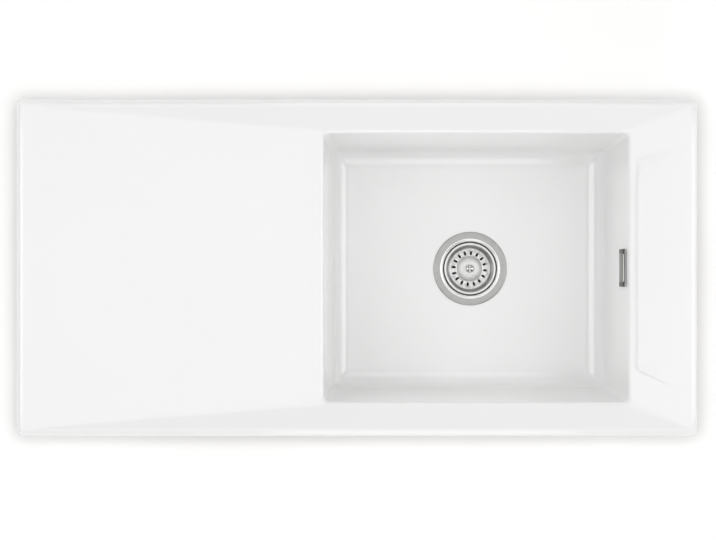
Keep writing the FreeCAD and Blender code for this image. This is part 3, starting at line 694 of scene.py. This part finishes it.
basket_line = [(stem_hole_radius, dome_top)]
for step in range(13):
    share = step / 12
    basket_line.append((dome_flat_radius + (dome_radius - dome_flat_radius) * share,
                        dome_foot + dome_height * (1 - share * share)))
land_edge = basket_floor_radius - basket_bend / 2
slot_rows = [slot_inner + slot_half_width * (1 - math.cos(math.pi / 8 * i)) for i in range(5)]
slot_rows += [slot_inner + slot_outer - r for r in slot_rows[::-1]]
basket_line += [(r, dome_foot + (basket_floor - dome_foot) * (r - dome_radius) / (land_edge - dome_radius))
                for r in slot_rows]
basket_line += bend((land_edge, basket_floor + basket_bend), basket_bend, -90, -20)
lip_radius = (basket_lip_radius - basket_mouth_radius) / 2
lip_middle = (basket_lip_radius - lip_radius, basket_top - lip_radius)
basket_line += bend(lip_middle, lip_radius, 190, 10, 10)


def slot_half(radius):
    """Half the slot's width at a distance from the axis; its ends are round."""
    if not slot_inner < radius < slot_outer:
        return 0.0
    past = max(slot_inner + slot_half_width - radius, radius - slot_outer + slot_half_width, 0)
    return math.sqrt(max(slot_half_width ** 2 - past ** 2, 0))


sector_half = math.pi / slot_count
across = 4
sector_spots, sector_faces = [], []
for side in (-1, 1):
    first = len(sector_spots)
    for r, z in basket_line:
        inner = slot_half(r) / r
        for j in range(across + 1):
            turn = side * (inner + (sector_half - inner) * j / across)
            sector_spots.append((r * math.cos(turn), r * math.sin(turn), z))
    for i in range(len(basket_line) - 1):
        for j in range(across):
            a = first + i * (across + 1) + j
            corners = (a, a + across + 1, a + across + 2, a + 1)
            sector_faces.append(corners if side > 0 else corners[::-1])
sector_mesh = bpy.data.meshes.new("basket_sector")
sector_mesh.from_pydata(sector_spots, [], sector_faces)
sector_mesh.shade_smooth()


def made_by_nodes(name, mesh, inputs, lay_out):
    """A piece whose mesh a geometry node tree makes; lay_out adds the nodes between its two ends."""
    tree = bpy.data.node_groups.new(name + "_tree", "GeometryNodeTree")
    tree.interface.new_socket("Geometry", in_out="INPUT", socket_type="NodeSocketGeometry")
    values = {}
    for label, kind, value in inputs:
        socket = tree.interface.new_socket(label, in_out="INPUT", socket_type="NodeSocket" + kind)
        values[socket.identifier] = value
    tree.interface.new_socket("Geometry", in_out="OUTPUT", socket_type="NodeSocketGeometry")
    node, link = tree.nodes.new, tree.links.new
    start, end = node("NodeGroupInput"), node("NodeGroupOutput")
    real, paint = node("GeometryNodeRealizeInstances"), node("GeometryNodeSetMaterial")
    link(lay_out(node, link, start.outputs), real.inputs["Geometry"])
    link(real.outputs["Geometry"], paint.inputs["Geometry"])
    link(start.outputs["Material"], paint.inputs["Material"])
    link(paint.outputs["Geometry"], end.inputs["Geometry"])
    piece = show(name, mesh)
    maker = piece.modifiers.new("maker", "NODES")
    maker.node_group = tree
    for identifier, value in values.items():
        maker[identifier] = value
    baked(piece)
    return piece


def repeated_round(node, link, given):
    """Repeats the given mesh round the upright axis through the origin."""
    points, index = node("GeometryNodeMeshLine"), node("GeometryNodeInputIndex")
    step, add, spin = node("ShaderNodeMath"), node("ShaderNodeMath"), node("ShaderNodeCombineXYZ")
    copies = node("GeometryNodeInstanceOnPoints")
    step.operation, add.operation = "MULTIPLY", "ADD"
    points.inputs["Offset"].default_value = (0, 0, 0)
    link(given["Count"], points.inputs["Count"])
    link(index.outputs["Index"], step.inputs[0])
    link(given["Step"], step.inputs[1])
    link(step.outputs["Value"], add.inputs[0])
    link(given["First Turn"], add.inputs[1])
    link(add.outputs["Value"], spin.inputs["Z"])
    link(points.outputs["Mesh"], copies.inputs["Points"])
    link(given["Geometry"], copies.inputs["Instance"])
    link(spin.outputs["Vector"], copies.inputs["Rotation"])
    return copies.outputs["Instances"]


satin_basket = ring_brushed("satin_basket", (0.50, 0.50, 0.495), (0.98, 0.98, 0.97), 0.36, patch=210.0,
                            dents=0.6, spread=0.08)
# The cup's steep wall is painted dark as shade, and the dome and rolled lip are painted light as highlights;
# all are the same satin sheet as the land.
painted_shade_wall = ring_brushed("painted_shade_wall", (0.28, 0.28, 0.275), (0.50, 0.50, 0.49), 0.3, patch=210.0)
painted_highlight_dome_lip = ring_brushed("painted_highlight_dome_lip", (0.88, 0.88, 0.87), (0.99, 0.99, 0.98), 0.6, patch=160.0)
strainer_basket = made_by_nodes("strainer_basket", sector_mesh, (
    ("Count", "Int", slot_count), ("First Turn", "Float", slot_turn), ("Step", "Float", 2 * sector_half),
    ("Material", "Material", satin_basket)), repeated_round)
facing_out(strainer_basket.data)
if sum(face.normal.z for face in strainer_basket.data.polygons) < 0:
    strainer_basket.data.flip_normals()
sheet = strainer_basket.modifiers.new("sheet", "SOLIDIFY")
sheet.thickness = basket_sheet
sheet.offset = -1
sheet.use_even_offset = True
baked(strainer_basket)
strainer_basket.data.transform(Matrix.Translation((waste_x, 0, 0)))
strainer_basket.data.set_sharp_from_angle(angle=math.radians(45))
strainer_basket.data.materials.clear()
for material in (satin_basket, painted_highlight_dome_lip, painted_shade_wall):
    strainer_basket.data.materials.append(material)
# Faces on the steep wall take the painted shade, the dome and the rolled lip take the painted highlight, and
# the land keeps the satin steel.
for face in strainer_basket.data.polygons:
    reach = math.hypot(face.center.x - waste_x, face.center.y)
    on_wall = land_edge < reach < basket_mouth_radius
    painted_highlight_zone = reach < dome_radius or reach >= basket_mouth_radius
    face.material_index = 1 if painted_highlight_zone else 2 if on_wall else 0
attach(strainer_basket, "basket")
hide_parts("basket_cup")

# The basket's knob: turned from steel bar, polished, and screwed down on the stem through the dome.
# A narrow neck for the fingers rises from its foot to a head with a rounded edge and a faintly domed top.
knob_radius, knob_round, knob_crown = 0.0062, 0.0024, 0.0030
knob_low, knob_high = (corner.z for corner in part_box("basket_knob"))
foot_and_neck = ((0, 0), (0.0046, 0), (0.0049, 0.0003), (0.0049, 0.0009), (0.0044, 0.0016), (0.0041, 0.0026),
                 (0.0041, 0.0042), (0.0045, 0.0054), (0.0056, 0.0064), (0.0061, 0.0072))
knob_top = ((0.0036, 0.0004), (0.0018, 0.0001), (0, 0))
knob_line = [(r, knob_low + rise) for r, rise in foot_and_neck]
knob_line += bend((knob_radius - knob_round, knob_high - knob_crown), knob_round, 0, 62, 6)
knob_line += [(r, knob_high - fall) for r, fall in knob_top]
polished_steel = grained("polished_steel", (0.50, 0.50, 0.49), (0.62, 0.62, 0.61), 0.16, metallic=1.0,
                         grain=600.0, depth=0.00005, strength=0.08)
knob_mesh = turned("strainer_knob", knob_line, steps=64, closed=False)
strainer_knob = show("strainer_knob", knob_mesh, polished_steel)
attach(strainer_knob, "basket")
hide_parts("basket_knob")

# Under the basket: a turned steel stem, a black rubber stopper disc between its collars, and a spring ring.
# Closed, the disc lies on the cup's floor round the well; the ring grips the fixing screw's tubular head.


def from_solid(name, node, material, edge, body="sink"):
    """A copy of a CAD node as one merged shell, its sharp edges eased, which takes the node's place."""
    shell = bmesh.new()
    shell.from_mesh(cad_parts[node].data)
    bmesh.ops.remove_doubles(shell, verts=shell.verts, dist=2e-6)
    bmesh.ops.dissolve_limit(shell, angle_limit=math.radians(1), verts=shell.verts, edges=shell.edges)
    sharp = [e for e in shell.edges if len(e.link_faces) == 2 and e.calc_face_angle() > math.radians(40)]
    bmesh.ops.bevel(shell, geom=sharp, offset=edge, segments=2, profile=0.5, affect="EDGES",
                    clamp_overlap=True)
    mesh = bpy.data.meshes.new(name)
    shell.to_mesh(mesh)
    shell.free()
    mesh.shade_smooth()
    mesh.set_sharp_from_angle(angle=math.radians(35))
    piece = show(name, mesh, material)
    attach(piece, body)
    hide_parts(node)


black_rubber = grained("black_rubber", (0.012, 0.012, 0.012), (0.03, 0.03, 0.03), 0.7, grain=1500.0,
                       strength=0.3)
spring_steel = grained("spring_steel", (0.40, 0.40, 0.39), (0.55, 0.55, 0.54), 0.28, metallic=1.0,
                       grain=1200.0)
from_solid("strainer_stem", "basket_stem", polished_steel, 0.0001, "basket")
from_solid("stopper_disc", "basket_seal", black_rubber, 0.0001, "basket")
from_solid("spring_ring", "stem_clip", spring_steel, 0.0001, "clip")

# The waste below the floor: rubber rings above and below the ceramic, a white moulded chamber with its arms
# and boss, and a screw from the hub into a brass insert, which clamps flange, floor and chamber together.
white_plastic = grained("white_plastic", (0.74, 0.74, 0.725), (0.80, 0.80, 0.785), 0.42, grain=700.0,
                        strength=0.1)
brass = grained("turned_brass", (0.58, 0.40, 0.15), (0.70, 0.50, 0.21), 0.25, metallic=1.0, grain=1400.0)
from_solid("flange_ring", "flange_seal", black_rubber, 0.0002)
from_solid("chamber_ring", "body_seal", black_rubber, 0.0002)
from_solid("waste_chamber", "waste_body", white_plastic, 0.0003)
from_solid("clamp_screw", "fixing_screw", polished_steel, 0.0001)
from_solid("clamp_insert", "fixing_nut", brass, 0.0001)

# The outlet's tail: a white moulded funnel, welded on below the chamber, with a thread for the trap's nut.
# The thread is one ridge that climbs round the tail; its crest is the outlet's full radius.
tail_low, tail_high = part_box("outlet_tail")
outlet_radius, outlet_bore = 0.0239, 0.0205
thread_depth = 0.0009
thread_pitch = 0.0023
thread_length = 0.0165
thread_start = 0.0016
tail_lead, tail_edge = 0.0008, 0.0003
collar, weld_lip, weld_step = 0.0024, 0.0020, 0.0032
outlet_top = tail_low.z + 0.020
weld_level = outlet_top + 0.006
weld_mouth = weld_level + 0.003
chamber_bore, funnel_depth = 0.046, 0.018
funnel_rise = (chamber_bore - outlet_bore) / funnel_depth
funnel_bore = outlet_bore + (weld_level - outlet_top) * funnel_rise
funnel_rim = tail_high.x - waste_x
root = outlet_radius - thread_depth
tail_line = [(outlet_bore, tail_low.z), (root - tail_lead, tail_low.z), (root, tail_low.z + tail_lead),
             (root, outlet_top), (outlet_radius + collar - tail_edge, outlet_top),
             (outlet_radius + collar, outlet_top + tail_edge), (funnel_rim, weld_mouth - tail_edge),
             (funnel_rim - tail_edge, weld_mouth), (funnel_rim - tail_edge - weld_lip, weld_mouth),
             (funnel_bore + weld_step, weld_level), (funnel_bore, weld_level), (outlet_bore, outlet_top)]
tail_mesh = turned("outlet_tail", tail_line, steps=96)


def thread_ridge(node, link, given):
    """A round ridge swept along a spiral that climbs the upright axis through the origin."""
    path, section = node("GeometryNodeCurveSpiral"), node("GeometryNodeCurvePrimitiveCircle")
    sweep = node("GeometryNodeCurveToMesh")
    path.inputs["Resolution"].default_value = 48
    section.inputs["Resolution"].default_value = 6
    sweep.inputs["Fill Caps"].default_value = True
    link(given["Turns"], path.inputs["Rotations"])
    link(given["Radius"], path.inputs["Start Radius"])
    link(given["Radius"], path.inputs["End Radius"])
    link(given["Length"], path.inputs["Height"])
    link(given["Ridge"], section.inputs["Radius"])
    link(path.outputs["Curve"], sweep.inputs["Curve"])
    link(section.outputs["Curve"], sweep.inputs["Profile Curve"])
    return sweep.outputs["Mesh"]


thread = made_by_nodes("outlet_thread", bpy.data.meshes.new("outlet_thread"), (
    ("Radius", "Float", root), ("Turns", "Float", thread_length / thread_pitch),
    ("Length", "Float", thread_length), ("Ridge", "Float", thread_depth),
    ("Material", "Material", white_plastic)), thread_ridge)
thread_mesh = thread.data
bpy.data.objects.remove(thread)
facing_out(thread_mesh)
thread_mesh.transform(Matrix.Translation((waste_x, 0, tail_low.z + thread_start)))
threaded_tail = show("threaded_tail", joined("threaded_tail", tail_mesh, thread_mesh), white_plastic)
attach(threaded_tail, "sink")
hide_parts("outlet_tail")

# The overflow's carrier: satin dark plastic, a flange on the bowl's wall with a raised block at each end.
# Its sleeve goes through the wall, and a web across the sleeve takes the screw that draws it tight.
carrier_length, carrier_height, carrier_radius = 0.056, 0.026, 0.003
carrier_low, carrier_flange, carrier_high = 0.001, 0.0030, 0.0056
carrier_end = 0.007
carrier_edge = 0.0004
sleeve_gap, sleeve_wall, sleeve_reach = 0.00075, 0.0015, 0.008
web_width, web_thickness, web_hole = 0.009, 0.003, 0.0046
sleeve_skin = sleeve_gap + sleeve_wall
carrier_bore = (opening_length - 2 * sleeve_skin, opening_height - 2 * sleeve_skin,
                opening_radius - sleeve_skin)
dark_plastic = grained("dark_plastic", (0.045, 0.045, 0.045), (0.07, 0.07, 0.07), 0.38, grain=1600.0,
                       strength=0.1)
# A lighter copy of the same plastic: painted light, to lift the shade that the cover plate casts on the
# carrier's flange.
painted_light_plastic = grained("painted_light_plastic", (0.40, 0.40, 0.39), (0.48, 0.48, 0.47), 0.38, grain=1600.0,
                       strength=0.1)
carrier_plates = (
    show("carrier_flange", rounded_block("carrier_flange", carrier_length, carrier_height, carrier_radius,
                                         carrier_low, carrier_flange, carrier_edge / 2)),
    show("carrier_sleeve", rounded_block("carrier_sleeve", opening_length - 2 * sleeve_gap,
                                         opening_height - 2 * sleeve_gap, opening_radius - sleeve_gap,
                                         -sleeve_reach, carrier_low + carrier_edge / 4, carrier_edge / 4)))
for part in carrier_plates:
    cut_away(part, rounded_block("carrier_bore", *carrier_bore, -wall_room, wall_room))
carrier_web = show("carrier_web", rounded_block(
    "carrier_web", web_width, carrier_bore[1] + sleeve_wall, carrier_edge, carrier_edge - sleeve_reach,
    web_thickness - sleeve_reach, carrier_edge / 4))
cut_away(carrier_web, rounded_block("web_hole", web_hole, web_hole, web_hole / 2 - 1e-5, -wall_room,
                                    wall_room))
carrier_meshes = [part.data for part in (*carrier_plates, carrier_web)]
for side in (-1, 1):
    carrier_meshes.append(rounded_block("carrier_end", carrier_end, carrier_height, carrier_end / 4,
                                        carrier_flange - carrier_edge / 2, carrier_high, carrier_edge,
                                        side * (carrier_length - carrier_end) / 2))
overflow_carrier = show("overflow_carrier", joined("overflow_carrier", *carrier_meshes), dark_plastic,
                        painted_light_plastic)
# The flange's face and the sleeve and web behind it take the painted light grey; the raised end blocks stay
# dark plastic.
for face in overflow_carrier.data.polygons:
    if (wall_frame.inverted() @ face.center).z < carrier_flange + 1e-6:
        face.material_index = 1
for part in (*carrier_plates, carrier_web):
    bpy.data.objects.remove(part)
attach(overflow_carrier, "sink")
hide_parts("overflow_insert")

# The overflow's cover: a stainless plate, brushed lengthwise, that stands a little off the carrier's flange.
# Water goes in round its upper and lower edges; a tongue at each end clicks into the carrier's blocks.
plate_low, plate_high = 0.0042, 0.0052
plate_gap, plate_edge, plate_radius = 0.0002, 0.0002, 0.0008
plate_length = carrier_length - 2 * (carrier_end + plate_gap)
tongue_reach, tongue_height = 0.0014, 0.016
# The plate's face is painted a dark steel as shade, and its edges a light steel as painted highlights.
brushed_painted_shade_plate = grained("brushed_painted_shade_plate", (0.20, 0.20, 0.18), (0.29, 0.29, 0.265), 0.34, metallic=1.0,
                        grain=2600.0, strength=0.15, stretch=(1, 0.03, 1))
painted_highlight_edge = grained("painted_highlight_edge", (0.80, 0.80, 0.79), (0.92, 0.92, 0.91), 0.3, metallic=1.0,
                       grain=1800.0)
overflow_plate = show("overflow_plate", joined(
    "overflow_plate",
    rounded_block("plate", plate_length, carrier_height, plate_radius, plate_low, plate_high, plate_edge),
    rounded_block("tongues", plate_length + 2 * tongue_reach, tongue_height, plate_radius,
                  plate_low + plate_edge, plate_high - plate_edge, plate_edge)), brushed_painted_shade_plate, painted_highlight_edge)
# Faces that are not square to the plate's face are its edges, which take the painted highlight.
for face in overflow_plate.data.polygons:
    if abs(face.normal @ (wall_frame.to_3x3() @ Vector((0, 0, 1)))) < math.cos(math.radians(20)):
        face.material_index = 1
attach(overflow_plate, "sink")
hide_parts("overflow_cover")

# Behind the wall: gaskets, a white moulded housing that a screw draws against the ceramic, and a rigid bent
# pipe down to the waste, with a grey nut over a rubber cone at each end.
grey_plastic = grained("grey_plastic", (0.30, 0.31, 0.32), (0.36, 0.37, 0.38), 0.45, strength=0.15)
from_solid("wall_gasket", "insert_seal", black_rubber, 0.0001)
from_solid("housing_gasket", "overflow_seal", black_rubber, 0.0002)
from_solid("overflow_box", "overflow_housing", white_plastic, 0.0003)
from_solid("overflow_bolt", "overflow_screw", polished_steel, 0.0001)
from_solid("overflow_insert_nut", "overflow_nut", brass, 0.0001)
from_solid("bent_pipe", "overflow_pipe", white_plastic, 0.0002)
from_solid("upper_cone", "upper_pipe_cone", black_rubber, 0.0001)
from_solid("lower_cone", "lower_pipe_cone", black_rubber, 0.0001)
from_solid("upper_nut", "upper_pipe_nut", grey_plastic, 0.0004)
from_solid("lower_nut", "lower_pipe_nut", grey_plastic, 0.0004)

# The stage: a pale floor that the waste outlet just clears, with a lamp of its own high above.
# The lamp lights the floor alone, so that it reads as plain white with a soft shadow close round the sink.
floor_clearance = 0.002
floor_reach = 12.0
floor_height = cad_box[0][2] - floor_clearance
floor_mesh = bpy.data.meshes.new("studio_floor")
floor_mesh.from_pydata([(x * floor_reach, y * floor_reach, floor_height)
                        for x, y in ((-1, -1), (1, -1), (1, 1), (-1, 1))], [], [(0, 1, 2, 3)])
floor_paint, dress_floor, *_ = new_material("studio_floor")
dress_floor(Base_Color=(0.66, 0.66, 0.66, 1), Roughness=1.0, Specular_IOR_Level=0.0)
studio_floor = show("studio_floor", floor_mesh, floor_paint)
floor_group = bpy.data.collections.new("studio_floor")
floor_group.objects.link(studio_floor)
scene = bpy.context.scene
lamp_place = (0.006, -0.017, 2.65)
floor_lamp_light = bpy.data.lights.new("floor_lamp", "AREA")
floor_lamp_light.shape = "DISK"
floor_lamp_light.size = 0.42
floor_lamp_light.energy = 61
floor_lamp = bpy.data.objects.new("floor_lamp", floor_lamp_light)
floor_lamp.location = lamp_place
floor_lamp.light_linking.receiver_collection = floor_group
scene.collection.objects.link(floor_lamp)

# The studio light: a soft sky, brightest straight above and low down, and soft boxes round the bowl.
# The low boxes show as light lines along the bowl's foot and corners; the higher ones shade its walls.
scene.view_settings.view_transform = "Standard"
scene.world = bpy.data.worlds.new("studio_sky")
scene.world.use_nodes = True
sky_nodes = scene.world.node_tree.nodes
sky_link = scene.world.node_tree.links.new
sky = sky_nodes["Background"]
sky_way = sky_nodes.new("ShaderNodeTexCoord")
sky_split = sky_nodes.new("ShaderNodeSeparateXYZ")
sky_ramp = sky_nodes.new("ShaderNodeValToRGB")
sky_steps = ((0.0, 0.4), (0.12, 0.5), (0.25, 0.3), (0.4, 0.1), (0.75, 0.05), (0.82, 0.15), (0.95, 0.12),
             (1.0, 1.0))
for place, glow in sky_steps[1:-1]:
    sky_ramp.color_ramp.elements.new(place)
for element, (place, glow) in zip(sky_ramp.color_ramp.elements, sky_steps):
    element.position = place
    element.color = (glow, glow, glow, 1)
sky_link(sky_way.outputs["Generated"], sky_split.inputs["Vector"])
sky_link(sky_split.outputs["Z"], sky_ramp.inputs["Fac"])
sky_link(sky_ramp.outputs["Color"], sky.inputs["Color"])
sky.inputs["Strength"].default_value = 1.7
box_distance, box_width, box_length = 3.0, 0.9, 1.65
low_rise, middle_rise, high_rise = 22, 40, 52
for side, bearing, rise, glow in (("right_low", 0, low_rise, 13), ("right_high", 0, high_rise, 18),
                                  ("rear_right", 45, middle_rise, 4), ("rear_high", 90, high_rise, 8),
                                  ("rear_left_low", 135, low_rise, 11), ("rear_left", 135, middle_rise, 4),
                                  ("left_high", 180, high_rise, 16), ("front_left_low", 225, low_rise, 8),
                                  ("front_low", 270, low_rise, 12), ("front_high", 270, high_rise, 10)):
    box_bearing, box_rise = math.radians(bearing), math.radians(rise)
    box_light = bpy.data.lights.new(side + "_soft_box", "AREA")
    box_light.shape = "RECTANGLE"
    box_light.size = box_width
    box_light.size_y = box_length
    box_light.energy = glow
    soft_box = bpy.data.objects.new(side + "_soft_box", box_light)
    level = math.cos(box_rise)
    out = Vector((math.cos(box_bearing) * level, math.sin(box_bearing) * level, math.sin(box_rise)))
    soft_box.location = Vector((waste_x, 0, 0)) + out * box_distance
    soft_box.rotation_euler = out.to_track_quat("Z", "Y").to_euler()
    soft_box.visible_camera = False
    scene.collection.objects.link(soft_box)

# The camera hangs level above the sink, a little right of its middle and in front of it.
# Its lens is shifted back by as much, so that the sink stays in the middle of the frame.
camera_height = 2.75
frame_width = 1.0494
frame_middle = Vector((0.0017, -0.0034))
camera_aside = 0.018
camera_data = bpy.data.cameras.new("overhead_camera")
camera_data.sensor_width = 36.0
camera_data.lens = camera_data.sensor_width * camera_height / frame_width
camera_data.shift_x = -camera_aside / frame_width
camera_data.shift_y = camera_aside / frame_width
overhead_camera = bpy.data.objects.new("overhead_camera", camera_data)
overhead_camera.location = (frame_middle.x + camera_aside, frame_middle.y - camera_aside,
                            rim_top + camera_height)
scene.collection.objects.link(overhead_camera)
scene.camera = overhead_camera
